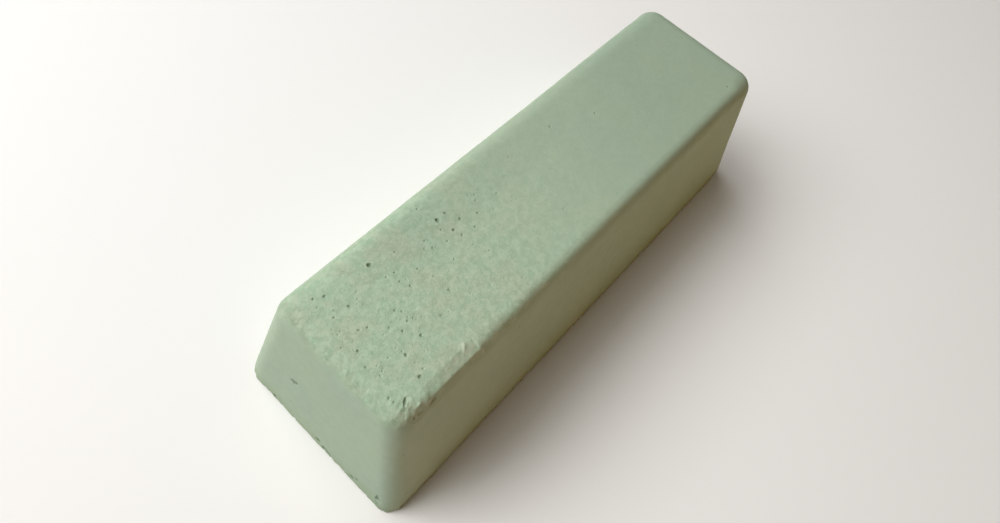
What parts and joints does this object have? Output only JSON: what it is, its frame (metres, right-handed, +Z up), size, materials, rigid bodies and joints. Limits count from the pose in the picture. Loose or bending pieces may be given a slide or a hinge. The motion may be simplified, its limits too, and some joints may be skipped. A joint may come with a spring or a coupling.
{
  "type": "honing compound bar",
  "caption": "Cast green honing compound bar with drafted sides, rounded edges and a shallow shrinkage hollow underneath, rubbed on a leather strop to charge it.",
  "frame": {"origin": "middle of the resting plane, which is the flat rim round the poured face", "axes": "+X along the bar, +Z up from the resting plane to the narrower face that is rubbed on the leather"},
  "size_m": [0.0748, 0.0258, 0.021],
  "materials": {
    "compound": "matte"
  },
  "bodies": {
    "root": {"compound_bar": "compound"}
  },
  "joints": []
}
